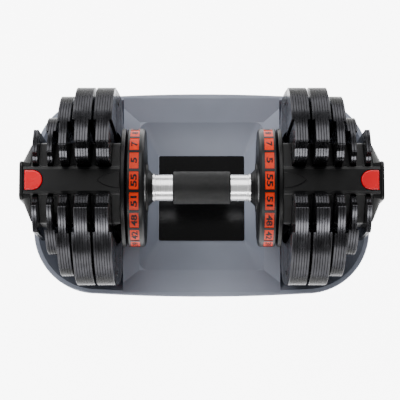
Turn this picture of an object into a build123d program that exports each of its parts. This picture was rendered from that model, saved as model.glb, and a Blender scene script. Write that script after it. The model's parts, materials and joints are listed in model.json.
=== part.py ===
"""Adjustable dumbbell resting in its storage tray.

Frame: +X along the bar, +Z up, origin on the ground under the middle of the tray.
Every piece of one end is modelled on the +X side and mirrored to the -X side.
"""

import os
from math import cos, degrees, radians, sin, sqrt

from build123d import *

# Bar axis and plates
AXIS_Z = 106.0          # bar axis above the ground
PLATE_RISE = 12.0       # centre of the plate circles above the bar axis
SHEET = 2.7             # one steel sheet of a plate
SHEET_BEVEL = 0.35      # bevel on every sheet edge
SLOT_HALF = 16.5        # half width of the plate slot
NECK_DROP = 1.08        # depth of the slot's neck under the rim, per unit of flare
LEDGE_SHARE = 0.68      # share of the flare that the sloping ledge takes
NECK_ROUND = 9.0        # rounding from the slot wall on to the ledge
LEDGE_ROUND = 3.0
HORN_ROUND = 1.6        # rounding of the two horn tips at the rim
RIVET_R = 3.2
SHOE = 3.8              # thick half sheet on the inboard face of the innermost plate
SHOE_TOP = 11.0         # its upper edge, over the axis
SHOE_FULL = -22.0       # height at which its bevelled top reaches the full thickness
SHOE_CUT = 60.0         # its clearance round the bar
LUG_WIDE = 7.0
LUG_SPAN = 18.0

# Plate stacks from the innermost outwards: middle of the plate on X, circle radius,
# half width, half width of the slot at the rim, sheets with horns, half width of the
# cut-out in the two cheek sheets.
PLATES = (
    (101.5, 106.0, 106.0, 34.0, 5, 58.0),
    (123.0, 106.0, 106.0, 34.0, 5, 58.0),
    (142.5, 96.5, 96.5, 32.0, 3, 58.0),
    (158.0, 73.5, 73.5, 28.0, 2, 52.0),
    (173.5, 72.0, 54.0, 28.0, 2, 0.0),
)

# Handle
CORE_R = 5.0            # fixed bar right through the handle
CORE_HALF = 183.8
SHAFT_BORE = 5.3
SHAFT_R = 9.0           # turning selector shaft
SHAFT_FLAT = 7.6        # half width over its two flats
TUBE_R = 12.5
TUBE_HALF = 56.0
GRIP_R = 17.7
GRIP_HALF = 30.8
COLLAR_R = 14.3
COLLAR_END = 53.0
HUB_END = 58.2
HUB_NECK_R = 20.5
HUB_FACE_R = 26.0
KEY_GAP = 0.4           # between the handle tube and the selector shaft

# Dial
DIAL_R = 64.0
DIAL_IN = 59.6
DIAL_OUT = 79.0
DIAL_WEB = 4.5
DIAL_RIM = 6.0
DIAL_BOSS_R = 15.0
BAND_IN = 66.2
BAND_OUT = 75.8
BAND_DEPTH = 2.6
CELL_COUNT = 18
CELL_ANGLE = 17.2       # each number cell, out of a pitch of 20 degrees
CELL_SUNK = 0.5         # cells under the dial's rims

# Bridge and end cap
FLANGE_IN = 81.0
FLANGE_OUT = 85.4
SADDLE_IN = 62.0        # radius of the saddle at the flange
SADDLE_TIP = 45.0       # radius of the saddle at its outboard end
SPINE_HALF = 15.3
SPINE_TOP = 66.0        # over the axis
SPINE_BOTTOM = 44.0
SPINE_END = 186.0
SPINE_ROUND = 4.0
FIN = 2.1
HOOD_GAP = 0.5          # between a hood and the plates at its sides
HOOD_HALF = 43.0        # half width of the hoods at their shoulders
HOOD_SHOULDER = 40.0    # height of the shoulders over the axis
HOOD_BORE = 40.8        # clearance round the selector discs
BUSH_R = 12.0
FIT = 0.05              # running clearance on radii
CAP_IN = 178.8
CAP_OUT = 187.2
CAP_EDGE = 1.4          # thickness of the cap's widest part
CAP_HALF = 40.4
CAP_FACE_HALF = 21.5
CAP_R_IN = 38.5
CAP_R_OUT = 25.0
CAP_WALL = 2.2
CAP_END_WALL = 3.0
BOLT_R = 2.8
BOLT_HOLE_R = 3.2
FASCIA_OUT = 190.6
FASCIA_HALF = 20.8

# Release button
BUTTON_R = 10.2
BUTTON_X = 176.2        # centre of the round end
BUTTON_FLAT = 184.6
BUTTON_GAP = 0.7
BUTTON_FLOOR = 57.0     # under face over the axis
BUTTON_TOP = 67.6
SPRING_FLOOR = 50.0
SPRING_R = 3.4
SPRING_WIRE = 0.5
SPRING_X = 171.5

# Pointer on the spine
POINTER_LENGTH = 24.0
POINTER_HALF = 7.8
POINTER_THICK = 1.2

# Selector discs and lock wheel
DISC_R = 40.0
DISC_WEB = 1.9
DISC_RIM = 4.0
DISC_RIM_DEPTH = 2.2
DISC_HOLES = 6          # lightening holes
DISC_HOLE_RING = 25.0
DISC_HOLE_R = 6.0
LUG_R = 35.4
LUG_DEPTH = 2.3
WHEEL_R = 14.2
WHEEL_NOTCH_R = 1.4
WHEEL_IN = 179.3
WHEEL_OUT = 181.5
SLIDER_IN = 179.2
SLIDER_THICK = 2.4
SLIDER_WIDE = 19.5
SLIDER_LOW = 21.0
SLIDER_HIGH = 20.0
SLIDER_FRAME = 3.5
TONGUE_WIDE = 11.0
TONGUE_SLOT = 12.4

# Tray
RIM_Z = 45.0
TRAY_HALF_X = 191.0
TRAY_HALF_Y = 114.5
TRAY_CORNER = 74.0
TRAY_BULGE = 3.5        # how far the middle of each side stands out
RIM_WIDE = 5.0
RIM_LIP = 4.0
RIM_ROUND = 1.6
DRAFT_OUT = 14.0
DRAFT_IN = 30.0
FOOT_H = 3.0
FLOOR_Z = 8.5
PANEL_HALF = 49.0
PANEL_GAP = 0.5
DECK_HALF = 87.8        # the sloping deck between the two plate pockets
DECK_TOP_X = 101.0      # where the deck's side slopes would reach the rim
WELL_TOP_X = 70.0
WELL_TOP_Y = 84.0
WELL_TOP_Z = 33.0
WELL_FLOOR_Z = 9.5
WELL_ROUND = 10.0
SKIN = 3.0              # wall of the deck and the well
HOLLOW_HALF_Y = 98.0
REST_HALF = 24.0        # ribs on the deck that carry the flanges
CRADLE_HALF = 34.0
CRADLE_GAP = 0.5
CRADLE_RISE = 58.0
CRADLE_ENDS = (PLATES[0][0], PLATES[1][0], PLATES[2][0] - 7, PLATES[3][0], PLATES[4][0] + 10)
CRADLE_STEPS = (100.0, 92.0, 76.0, 58.0)  # clearance round the axis between those ends

# Derived
DIAL_BORE = SHAFT_R + FIT
BAND_FLOOR = DIAL_R - BAND_DEPTH
CAP_START = CAP_IN + 0.2

os.makedirs("parts", exist_ok=True)


def save(piece, name):
    """Label one finished piece and write its STEP file."""
    piece.label = name
    export_step(piece, f"parts/{name}.step")
    print(name, len(piece.solids()), round(piece.volume))


def save_pair(piece, name):
    """Write the +X piece as right_ and its mirror image as left_."""
    twin = [mirror(solid, about=Plane.YZ) for solid in piece.solids()]
    save(piece, f"right_{name}")
    save(Compound(children=twin), f"left_{name}")


def at_x(x):
    """Plane across the bar at x: its own x is Y and its own y is the height over the axis."""
    return Plane(origin=(x, 0, AXIS_Z), x_dir=(0, 1, 0), z_dir=(1, 0, 0))


def along_bar():
    """Plane that holds the bar axis: its own x is X and its own y is the height over the axis."""
    return Plane(origin=(0, 0, AXIS_Z), x_dir=(1, 0, 0), z_dir=(0, -1, 0))


# ---------------------------------------------------------------- weight plates

def slot(radius, mouth):
    """Slot of a horned sheet: straight walls, a rounded neck, a sloping ledge and a steep flare."""
    flare = mouth - SLOT_HALF
    rim = PLATE_RISE + sqrt(radius**2 - mouth**2)
    ledge = (SLOT_HALF + LEDGE_SHARE * flare, rim - LEDGE_SHARE * flare)
    rise = rim - ledge[1]
    run = mouth - ledge[0]
    beyond = (mouth + 3 * run, rim + 3 * rise)
    with BuildSketch() as cut:
        Circle(SLOT_HALF)
        with BuildLine():
            wall = FilletPolyline(
                (SLOT_HALF, 0),
                (SLOT_HALF, rim - NECK_DROP * flare),
                ledge,
                beyond,
                radius=[NECK_ROUND, LEDGE_ROUND],
            )
            mirror(wall, about=Plane.YZ)
            Line((-SLOT_HALF, 0), (SLOT_HALF, 0))
            Line((-beyond[0], beyond[1]), beyond)
        make_face()
    return cut.sketch


def plate_face(radius, half_width, mouth, cut_half, rivets):
    """Flat outline of one sheet in a plane across the bar: slotted, or with a wide cut-out."""
    with BuildSketch() as face:
        with Locations((0, PLATE_RISE)):
            Circle(radius)
            if half_width < radius:
                Rectangle(2 * half_width, 2 * radius, mode=Mode.INTERSECT)
        if cut_half:
            Circle(cut_half, mode=Mode.SUBTRACT)
            Rectangle(
                2 * cut_half,
                radius + 2 * PLATE_RISE,
                align=(Align.CENTER, Align.MIN),
                mode=Mode.SUBTRACT,
            )
        else:
            add(slot(radius, mouth), mode=Mode.SUBTRACT)
            horns = face.vertices().sort_by(Axis.Y)[-2:]
            fillet(horns, HORN_ROUND)
        with Locations(*rivets):
            Circle(RIVET_R + FIT, mode=Mode.SUBTRACT)
    return face.sketch


def shoe_face(radius, rivets):
    """Lower half ring of the thick sheet on the innermost plate."""
    with BuildSketch() as face:
        with Locations((0, PLATE_RISE)):
            Circle(radius)
        Circle(SHOE_CUT, mode=Mode.SUBTRACT)
        with Locations((0, SHOE_TOP)):
            Rectangle(3 * radius, 2 * radius, align=(Align.CENTER, Align.MIN), mode=Mode.SUBTRACT)
        with Locations(*rivets):
            Circle(RIVET_R + FIT, mode=Mode.SUBTRACT)
    return face.sketch


def shoe(x, radius, rivets):
    """Thick half sheet whose outboard face is at x, bevelled along its top."""
    with BuildPart() as blank:
        add(sheet(x - SHOE, shoe_face(radius, rivets), SHOE))
        with BuildSketch(along_bar()):
            with BuildLine():
                Polyline(
                    (x - 0.1, SHOE_TOP + 5),
                    (x - 0.1, SHOE_TOP),
                    (x - SHOE, SHOE_FULL),
                    (x - SHOE - 1, SHOE_FULL),
                    (x - SHOE - 1, SHOE_TOP + 5),
                    close=True,
                )
            make_face()
        extrude(amount=1.2 * radius, both=True, mode=Mode.SUBTRACT)
    return blank.part


def rivet_places(radius, half_width):
    """Rivets in the lower half of a plate, clear of the slot and of the selector disc."""
    reach = min(radius, half_width) - 12
    return [
        (reach * cos(radians(angle)), PLATE_RISE + reach * sin(radians(angle)))
        for angle in (188, 232, 308, 352)
    ]


def sheet(x, face, thick=SHEET):
    """One bevelled steel sheet with its inboard face at x."""
    with BuildPart() as blank:
        with BuildSketch(at_x(x)):
            add(face)
        extrude(amount=thick)
        chamfer(blank.edges().filter_by(Plane.YZ), SHEET_BEVEL)
    return blank.part


def plate(x, radius, half_width, mouth, horn_sheets, cut_half, has_shoe=False):
    """A riveted stack: horned sheets in the middle, one cut-out cheek sheet each side.

    The sheets are pressed together for good, so they are one body with a groove at each joint.
    """
    rivets = rivet_places(radius, half_width)
    horned = plate_face(radius, half_width, mouth, 0, rivets)
    start = x - horn_sheets * SHEET / 2
    finish = x + horn_sheets * SHEET / 2
    cheek_thick = SHEET if cut_half else 0
    with BuildPart() as stack:
        for i in range(horn_sheets):
            add(sheet(start + SHEET * i, horned))
        if cut_half:
            cheek = plate_face(radius, half_width, mouth, cut_half, rivets)
            add(sheet(start - SHEET, cheek))
            add(sheet(finish, cheek))
        if has_shoe:
            add(shoe(start - cheek_thick, radius, rivets))
    head = SHOE / 2 if has_shoe else 0
    with BuildPart() as pins:
        with BuildSketch(at_x(start - cheek_thick - head)):
            with Locations(*rivets):
                Circle(RIVET_R)
        extrude(amount=finish - start + 2 * cheek_thick + head)
    with BuildPart() as lug:
        with BuildSketch(at_x(start - LUG_DEPTH)):
            Circle(LUG_R)
            Circle(LUG_R - LUG_WIDE, mode=Mode.SUBTRACT)
            Rectangle(LUG_SPAN, LUG_R, align=(Align.CENTER, Align.MAX), mode=Mode.INTERSECT)
        extrude(amount=LUG_DEPTH)
    return Compound(children=[*stack.part.solids(), *pins.part.solids(), lug.part.solid()])


save_pair(plate(*PLATES[0], has_shoe=True), "plate_1")
for number, stack in enumerate(PLATES[1:], start=2):
    save_pair(plate(*stack), f"plate_{number}")


# ---------------------------------------------------------------- handle

def ring(x0, x1, outer, inner):
    """Plain turned ring around the bar from x0 to x1."""
    with BuildPart() as turned:
        with BuildSketch(at_x(x0)):
            Circle(outer)
            Circle(inner, mode=Mode.SUBTRACT)
        extrude(amount=x1 - x0)
    return turned.part


with BuildPart() as core_bar:
    with BuildSketch(at_x(-CORE_HALF)):
        Circle(CORE_R)
    extrude(amount=2 * CORE_HALF)
    chamfer(core_bar.edges().filter_by(GeomType.CIRCLE), 0.6)
save(core_bar.part, "core_bar")

save(ring(-TUBE_HALF, TUBE_HALF, TUBE_R, SHAFT_R + KEY_GAP), "handle_tube")

with BuildPart() as grip:
    with BuildSketch(at_x(-GRIP_HALF)):
        Circle(GRIP_R)
        Circle(TUBE_R + FIT, mode=Mode.SUBTRACT)
    extrude(amount=2 * GRIP_HALF)
    fillet(grip.edges().filter_by(GeomType.CIRCLE).group_by(Axis.Z)[0], 1.2)
save(grip.part, "grip")

with BuildPart() as collar:
    with BuildSketch(along_bar()):
        with BuildLine():
            Polyline(
                (GRIP_HALF + 0.1, TUBE_R + FIT),
                (GRIP_HALF + 0.1, COLLAR_R - 0.5),
                (GRIP_HALF + 0.6, COLLAR_R),
                (COLLAR_END - 3.4, COLLAR_R),
                (COLLAR_END - 3.0, COLLAR_R - 0.5),
                (COLLAR_END - 2.6, COLLAR_R - 0.5),
                (COLLAR_END - 2.4, COLLAR_R + 0.9),
                (COLLAR_END - 0.4, COLLAR_R + 0.9),
                (COLLAR_END, COLLAR_R + 0.5),
                (COLLAR_END, TUBE_R + FIT),
                close=True,
            )
        make_face()
    revolve(axis=Axis((0, 0, AXIS_Z), (1, 0, 0)))
save_pair(collar.part, "collar")

with BuildPart() as hub:
    with BuildSketch(along_bar()):
        with BuildLine():
            Polyline(
                (COLLAR_END + 0.1, TUBE_R + FIT),
                (COLLAR_END + 0.1, COLLAR_R + 1.2),
                (HUB_END - 0.2, HUB_NECK_R),
                (HUB_END - 0.2, HUB_FACE_R),
                (HUB_END + 1.6, HUB_FACE_R),
                (HUB_END + 1.6, SHAFT_R + FIT),
                (HUB_END - 1.8, SHAFT_R + FIT),
                (HUB_END - 1.8, TUBE_R + FIT),
                close=True,
            )
        make_face()
    revolve(axis=Axis((0, 0, AXIS_Z), (1, 0, 0)))
save_pair(hub.part, "hub")

with BuildPart() as shaft:
    with BuildSketch(at_x(HUB_END - 1.0)):
        Circle(SHAFT_R)
        Rectangle(2 * SHAFT_FLAT, 2 * SHAFT_R, mode=Mode.INTERSECT)
        Circle(SHAFT_BORE, mode=Mode.SUBTRACT)
    extrude(amount=WHEEL_OUT + 0.6 - (HUB_END - 1.0))
save_pair(shaft.part, "selector_shaft")


# ---------------------------------------------------------------- dial

def number_cell(grow):
    """One cell of the band, standing on the +Y side of the bar, grown all round for its pocket."""
    angle = CELL_ANGLE + 2 * degrees(grow / DIAL_R)
    with BuildPart() as cell:
        with BuildSketch(at_x(BAND_IN - grow)):
            with BuildLine():
                outer = CenterArc((0, 0), DIAL_R - CELL_SUNK + 20 * grow, -angle / 2, angle)
                inner = CenterArc((0, 0), BAND_FLOOR + FIT - grow, -angle / 2, angle)
                Line(outer @ 0, inner @ 0)
                Line(outer @ 1, inner @ 1)
            make_face()
        extrude(amount=BAND_OUT - BAND_IN + 2 * grow)
    return cell.part.moved(Location(at_x(0)).inverse())


with BuildPart() as dial:
    with BuildSketch(along_bar()):
        with BuildLine():
            Polyline(
                (HUB_END + 1.7, DIAL_BORE),
                (HUB_END + 1.7, HUB_FACE_R + 0.2),
                (DIAL_IN, HUB_FACE_R + 0.2),
                (DIAL_IN, DIAL_R - 14.0),
                (DIAL_IN + 0.4, DIAL_R - 3.5),
                (DIAL_IN + 1.5, DIAL_R - 1.0),
                (DIAL_IN + 3.4, DIAL_R),
                (DIAL_OUT - 1.2, DIAL_R),
                (DIAL_OUT, DIAL_R - 1.2),
                (DIAL_OUT, DIAL_R - DIAL_RIM),
                (DIAL_IN + DIAL_WEB + 2.5, DIAL_R - DIAL_RIM),
                (DIAL_IN + DIAL_WEB, DIAL_R - 16.0),
                (DIAL_IN + DIAL_WEB, DIAL_BOSS_R),
                (DIAL_OUT, DIAL_BOSS_R),
                (DIAL_OUT, DIAL_BORE),
                close=True,
            )
        make_face()
    revolve(axis=Axis((0, 0, AXIS_Z), (1, 0, 0)))
    with Locations(at_x(0)):
        with PolarLocations(0, CELL_COUNT, start_angle=90):
            add(number_cell(FIT), mode=Mode.SUBTRACT)
save_pair(dial.part, "dial")

with BuildPart() as number_cells:
    with Locations(at_x(0)):
        with PolarLocations(0, CELL_COUNT, start_angle=90):
            add(number_cell(0))
save_pair(number_cells.part, "number_cells")


# ---------------------------------------------------------------- selector discs

def disc(x_face, gap_angle):
    """Keyed disc whose rim, open at gap_angle, reaches under the lug of the plate at x_face."""
    web_start = x_face - 0.5 - DISC_RIM_DEPTH - DISC_WEB
    with BuildPart() as made:
        with BuildSketch(at_x(web_start)):
            Circle(DISC_R)
            with BuildSketch(mode=Mode.PRIVATE) as keyed:
                Circle(SHAFT_R + FIT)
                Rectangle(2 * (SHAFT_FLAT + FIT), 2 * SHAFT_R + 1, mode=Mode.INTERSECT)
            add(keyed.sketch, mode=Mode.SUBTRACT)
            with PolarLocations(DISC_HOLE_RING, DISC_HOLES, start_angle=30):
                Circle(DISC_HOLE_R, mode=Mode.SUBTRACT)
        extrude(amount=DISC_WEB)
        with BuildSketch(at_x(web_start + DISC_WEB)):
            Circle(DISC_R)
            Circle(DISC_R - DISC_RIM, mode=Mode.SUBTRACT)
            with PolarLocations(DISC_R, 1, start_angle=gap_angle):
                Rectangle(24, 26, mode=Mode.SUBTRACT)
        extrude(amount=DISC_RIM_DEPTH)
    return made.part


for number, (x, _, _, _, horn_sheets, _) in enumerate(PLATES, start=1):
    save_pair(disc(x - horn_sheets * SHEET / 2, 40 * number - 30), f"selector_disc_{number}")

with BuildPart() as lock_wheel:
    with BuildSketch(at_x(WHEEL_IN)):
        Circle(WHEEL_R)
        with BuildSketch(mode=Mode.PRIVATE) as keyed:
            Circle(SHAFT_R + FIT)
            Rectangle(2 * (SHAFT_FLAT + FIT), 2 * SHAFT_R + 1, mode=Mode.INTERSECT)
        add(keyed.sketch, mode=Mode.SUBTRACT)
        with PolarLocations(WHEEL_R, CELL_COUNT, start_angle=90):
            Circle(WHEEL_NOTCH_R, mode=Mode.SUBTRACT)
    extrude(amount=WHEEL_OUT - WHEEL_IN)
save_pair(lock_wheel.part, "lock_wheel")


# ---------------------------------------------------------------- bridge

def gaps():
    """Free stretches of X between the horned sheets: (start, finish), the saddle's own first."""
    edges = [FLANGE_OUT - HOOD_GAP - 0.1]
    for x, _, _, _, horn_sheets, _ in PLATES:
        edges += [x - horn_sheets * SHEET / 2, x + horn_sheets * SHEET / 2]
    edges.append(CAP_IN + HOOD_GAP)
    return [(edges[i] + HOOD_GAP, edges[i + 1] - HOOD_GAP) for i in range(0, len(edges), 2)]


def hood_outline():
    """Fan over the selector discs: from the spine out to two shoulders, then straight down."""
    with BuildSketch() as fan:
        with BuildLine():
            Polyline(
                (-HOOD_HALF, 0),
                (-HOOD_HALF, HOOD_SHOULDER),
                (-SPINE_HALF, SPINE_TOP - SPINE_ROUND),
                (SPINE_HALF, SPINE_TOP - SPINE_ROUND),
                (HOOD_HALF, HOOD_SHOULDER),
                (HOOD_HALF, 0),
                close=True,
            )
        make_face()
        fillet(fan.vertices().filter_by_position(Axis.Y, HOOD_SHOULDER - 1, HOOD_SHOULDER + 1), 5)
    return fan.sketch


def fin_outline():
    """Outline of one fin: the hood's fan, and a tongue round the shaft below it."""
    with BuildSketch() as fin:
        add(hood_outline())
        Circle(SPINE_HALF - 0.3)
        Circle(SHAFT_R + 0.5, mode=Mode.SUBTRACT)
    return fin.sketch


def spine_outline(grow):
    """Section of the spine, grown all round for the pocket that the end cap leaves for it."""
    half = SPINE_HALF + grow
    top = SPINE_TOP + grow
    with BuildSketch() as section:
        with BuildLine():
            Polyline(
                (-half, SPINE_BOTTOM - grow),
                (half, SPINE_BOTTOM - grow),
                (half, top - SPINE_ROUND),
                (half - 0.3 * SPINE_ROUND, top - 0.3 * SPINE_ROUND),
                (half - SPINE_ROUND, top),
                (SPINE_ROUND - half, top),
                (0.3 * SPINE_ROUND - half, top - 0.3 * SPINE_ROUND),
                (-half, top - SPINE_ROUND),
                close=True,
            )
        make_face()
    return section.sketch


def button_outline(grow):
    """Release button seen from above: round inboard, flat outboard."""
    radius = BUTTON_R + grow
    with BuildSketch() as seen:
        with Locations((BUTTON_X, 0)):
            Circle(radius)
            Rectangle(
                BUTTON_FLAT + grow - BUTTON_X,
                2 * radius,
                align=(Align.MIN, Align.CENTER),
            )
        with Locations((BUTTON_FLAT + grow, 0)):
            Rectangle(40, 60, align=(Align.MIN, Align.CENTER), mode=Mode.SUBTRACT)
    return seen.sketch


with BuildPart() as saddle:
    saddle_start, saddle_end = gaps()[0]
    with BuildSketch(along_bar()):
        with BuildLine():
            ThreePointArc(
                (saddle_start, SADDLE_IN),
                (saddle_start + 3.2, 0.6 * SADDLE_TIP + 0.4 * SADDLE_IN),
                (saddle_end, SADDLE_TIP),
            )
            Polyline(
                (saddle_end, SADDLE_TIP),
                (saddle_end, HOOD_BORE),
                (saddle_start, HOOD_BORE),
                (saddle_start, SADDLE_IN),
            )
        make_face()
    revolve(axis=Axis((0, 0, AXIS_Z), (1, 0, 0)))
    with BuildSketch(at_x(saddle_start)):
        add(hood_outline())
        Circle(HOOD_BORE, mode=Mode.SUBTRACT)
    extrude(amount=saddle_end - saddle_start)
    with BuildSketch(Plane.XY.offset(AXIS_Z)):
        with Locations((saddle_start - 1, 0)):
            Rectangle(20, 4 * DIAL_R, align=(Align.MIN, Align.CENTER))
    extrude(amount=-2 * DIAL_R, mode=Mode.SUBTRACT)

with BuildPart() as bridge:
    with BuildSketch(at_x(FLANGE_IN)):
        Circle(DIAL_R)
    extrude(amount=FLANGE_OUT - FLANGE_IN)
    chamfer(bridge.edges().filter_by(GeomType.CIRCLE), 0.8)
    for groove_x in (FLANGE_IN + 1.2, FLANGE_IN + 2.4):
        with BuildSketch(at_x(groove_x)):
            Circle(DIAL_R + 1)
            Circle(DIAL_R - 1.2, mode=Mode.SUBTRACT)
        extrude(amount=0.5, mode=Mode.SUBTRACT)
    add(saddle.part)
    with BuildSketch(at_x(FLANGE_OUT)):
        add(spine_outline(0))
    extrude(amount=SPINE_END - FLANGE_OUT)
    for start, finish in gaps()[1:]:
        with BuildSketch(at_x(start)):
            add(fin_outline())
        extrude(amount=FIN)
        if finish - start > FIN + HOOD_GAP:
            with BuildSketch(at_x(start)):
                add(hood_outline())
                Circle(HOOD_BORE, mode=Mode.SUBTRACT)
            extrude(amount=finish - start)
    with BuildSketch(at_x(FLANGE_IN)):
        Circle(BUSH_R + FIT)
    extrude(amount=FLANGE_OUT - FLANGE_IN, mode=Mode.SUBTRACT)
    with BuildSketch(Plane.XY.offset(AXIS_Z + SPRING_FLOOR)):
        add(button_outline(BUTTON_GAP))
    extrude(amount=SPINE_TOP - SPRING_FLOOR + 1, mode=Mode.SUBTRACT)
    with BuildSketch(Plane.XY.offset(AXIS_Z + SPINE_BOTTOM - 4)):
        with Locations((WHEEL_IN + 1.0, 0)):
            Rectangle(SLIDER_THICK + 2.0, TONGUE_SLOT + 0.6)
    extrude(amount=SPRING_FLOOR - SPINE_BOTTOM + 5, mode=Mode.SUBTRACT)
save_pair(bridge.part, "bridge")

with BuildPart() as bush:
    with BuildSketch(at_x(FLANGE_IN - 0.6)):
        Circle(BUSH_R + 2)
        Circle(SHAFT_R + FIT, mode=Mode.SUBTRACT)
    extrude(amount=0.6)
    with BuildSketch(at_x(FLANGE_IN)):
        Circle(BUSH_R)
        Circle(SHAFT_R + FIT, mode=Mode.SUBTRACT)
    extrude(amount=FLANGE_OUT - FLANGE_IN)
save_pair(bush.part, "shaft_bush")

with BuildPart() as pointer:
    with BuildSketch(Plane.XY.offset(AXIS_Z + SPINE_TOP)):
        with BuildLine():
            side = ThreePointArc(
                (FLANGE_OUT + 0.2, POINTER_HALF),
                (FLANGE_OUT + 0.62 * POINTER_LENGTH, 0.72 * POINTER_HALF),
                (FLANGE_OUT + POINTER_LENGTH, 0),
            )
            mirror(side, about=Plane.XZ)
            Line((FLANGE_OUT + 0.2, POINTER_HALF), (FLANGE_OUT + 0.2, -POINTER_HALF))
        make_face()
    extrude(amount=POINTER_THICK)
    chamfer(pointer.faces().sort_by(Axis.Z)[-1].edges(), 0.4)
save_pair(pointer.part, "pointer")


# ---------------------------------------------------------------- end cap

def cap_outline(half, shoulder, top_half):
    """Outline of the end cap: eight corners, the upper four set high like the hoods."""
    low = 0.42 * half
    with BuildSketch() as fan:
        with BuildLine():
            Polyline(
                (-low, -half),
                (low, -half),
                (half, -low),
                (half, shoulder),
                (top_half, SPINE_TOP - SPINE_ROUND),
                (-top_half, SPINE_TOP - SPINE_ROUND),
                (-half, shoulder),
                (-half, -low),
                close=True,
            )
        make_face()
    return fan.sketch


with BuildPart() as end_cap:
    wide = cap_outline(CAP_HALF, HOOD_SHOULDER, SPINE_HALF + 3)
    with BuildSketch(at_x(CAP_START)):
        add(wide)
    extrude(amount=CAP_EDGE)
    with BuildSketch(at_x(CAP_START + CAP_EDGE)):
        add(wide)
    with BuildSketch(at_x(CAP_OUT)):
        add(cap_outline(CAP_FACE_HALF, 54.0, CAP_FACE_HALF - 2))
    loft(ruled=True)
    with BuildSketch(along_bar()):
        with BuildLine():
            Polyline(
                (CAP_START - 1, 0),
                (CAP_START - 1, CAP_R_IN - CAP_WALL),
                (CAP_START + 1, CAP_R_IN - CAP_WALL),
                (CAP_OUT - CAP_END_WALL, CAP_R_OUT - CAP_WALL),
                (CAP_OUT - CAP_END_WALL, BOLT_HOLE_R),
                (CAP_OUT + 1.0, BOLT_HOLE_R),
                (CAP_OUT + 1.0, 0),
                close=True,
            )
        make_face()
    revolve(axis=Axis((0, 0, AXIS_Z), (1, 0, 0)), mode=Mode.SUBTRACT)
    with BuildSketch(at_x(CAP_START - 1)):
        with Locations((0, CAP_R_OUT - 5)):
            Rectangle(TONGUE_SLOT, SPINE_BOTTOM - CAP_R_OUT + 6, align=(Align.CENTER, Align.MIN))
    extrude(amount=SLIDER_IN + SLIDER_THICK + 1.4 - CAP_START + 1, mode=Mode.SUBTRACT)
    with BuildSketch(at_x(CAP_START - 1)):
        add(spine_outline(FIT))
    extrude(amount=SPINE_END + FIT - CAP_START + 1, mode=Mode.SUBTRACT)
save_pair(end_cap.part, "end_cap")

with BuildPart() as fascia:
    with BuildSketch(at_x(CAP_OUT)):
        with Locations((0, 18)):
            RectangleRounded(2 * FASCIA_HALF, 2 * (SPINE_TOP - 18) - 1, 6)
    extrude(amount=FASCIA_OUT - CAP_OUT)
    fillet(fascia.faces().sort_by(Axis.X)[-1].edges(), 2.0)
save_pair(fascia.part, "end_fascia")

with BuildPart() as end_bolt:
    with BuildSketch(at_x(CORE_HALF + 0.1)):
        Circle(BOLT_R)
    extrude(amount=CAP_OUT - CORE_HALF - 0.2)
    with BuildSketch(at_x(CAP_OUT - 2.0)):
        RegularPolygon(1.6, 6)
    extrude(amount=2.0, mode=Mode.SUBTRACT)
save_pair(end_bolt.part, "end_bolt")


# ---------------------------------------------------------------- release button

with BuildPart() as button:
    with BuildSketch(Plane.XY.offset(AXIS_Z + BUTTON_FLOOR)):
        add(button_outline(0))
    extrude(amount=BUTTON_TOP - BUTTON_FLOOR)
    fillet(button.faces().sort_by(Axis.Z)[-1].edges(), 1.4)
save_pair(button.part, "release_button")

with BuildPart() as lock_slider:
    with BuildSketch(at_x(SLIDER_IN)):
        Rectangle(2 * SLIDER_WIDE, SLIDER_LOW + SLIDER_HIGH)
        Rectangle(2 * (SLIDER_WIDE - SLIDER_FRAME), SLIDER_LOW + SLIDER_HIGH - 5, mode=Mode.SUBTRACT)
        with Locations((0, SLIDER_HIGH)):
            Rectangle(TONGUE_WIDE, BUTTON_FLOOR - SLIDER_HIGH, align=(Align.CENTER, Align.MIN))
        with Locations((0, -15.0)):
            Rectangle(2.0, 4.0, align=(Align.CENTER, Align.MAX))
    extrude(amount=SLIDER_THICK)
save_pair(lock_slider.part, "lock_slider")

with BuildPart() as spring:
    with BuildLine():
        coil = Helix(
            pitch=1.5,
            height=BUTTON_FLOOR - SPRING_FLOOR - 1.6,
            radius=SPRING_R,
            center=(SPRING_X, 0, AXIS_Z + SPRING_FLOOR + 0.8),
        )
    with BuildSketch(Plane(origin=coil @ 0, z_dir=coil % 0)):
        Circle(SPRING_WIRE)
    sweep(is_frenet=True)
save_pair(spring.part, "button_spring")


# ---------------------------------------------------------------- tray

def tray_outline(inset):
    """Tray seen from above: a long rounded shape whose sides bulge a little."""
    half_x = TRAY_HALF_X - inset
    half_y = TRAY_HALF_Y - inset
    corner = TRAY_CORNER - inset
    with BuildSketch() as seen:
        with BuildLine():
            ThreePointArc(
                (corner - half_x, half_y - TRAY_BULGE),
                (0, half_y),
                (half_x - corner, half_y - TRAY_BULGE),
            )
            ThreePointArc(
                (half_x - TRAY_BULGE, half_y - corner),
                (half_x, 0),
                (half_x - TRAY_BULGE, corner - half_y),
            )
            ThreePointArc(
                (half_x - corner, TRAY_BULGE - half_y),
                (0, -half_y),
                (corner - half_x, TRAY_BULGE - half_y),
            )
            ThreePointArc(
                (TRAY_BULGE - half_x, corner - half_y),
                (-half_x, 0),
                (TRAY_BULGE - half_x, half_y - corner),
            )
            for sx in (1, -1):
                for sy in (1, -1):
                    reach = half_x - TRAY_BULGE - 0.293 * (corner - TRAY_BULGE)
                    rise = half_y - TRAY_BULGE - 0.293 * (corner - TRAY_BULGE)
                    ThreePointArc(
                        (sx * (half_x - corner), sy * (half_y - TRAY_BULGE)),
                        (sx * reach, sy * rise),
                        (sx * (half_x - TRAY_BULGE), sy * (half_y - corner)),
                    )
        make_face()
    return seen.sketch


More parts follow.
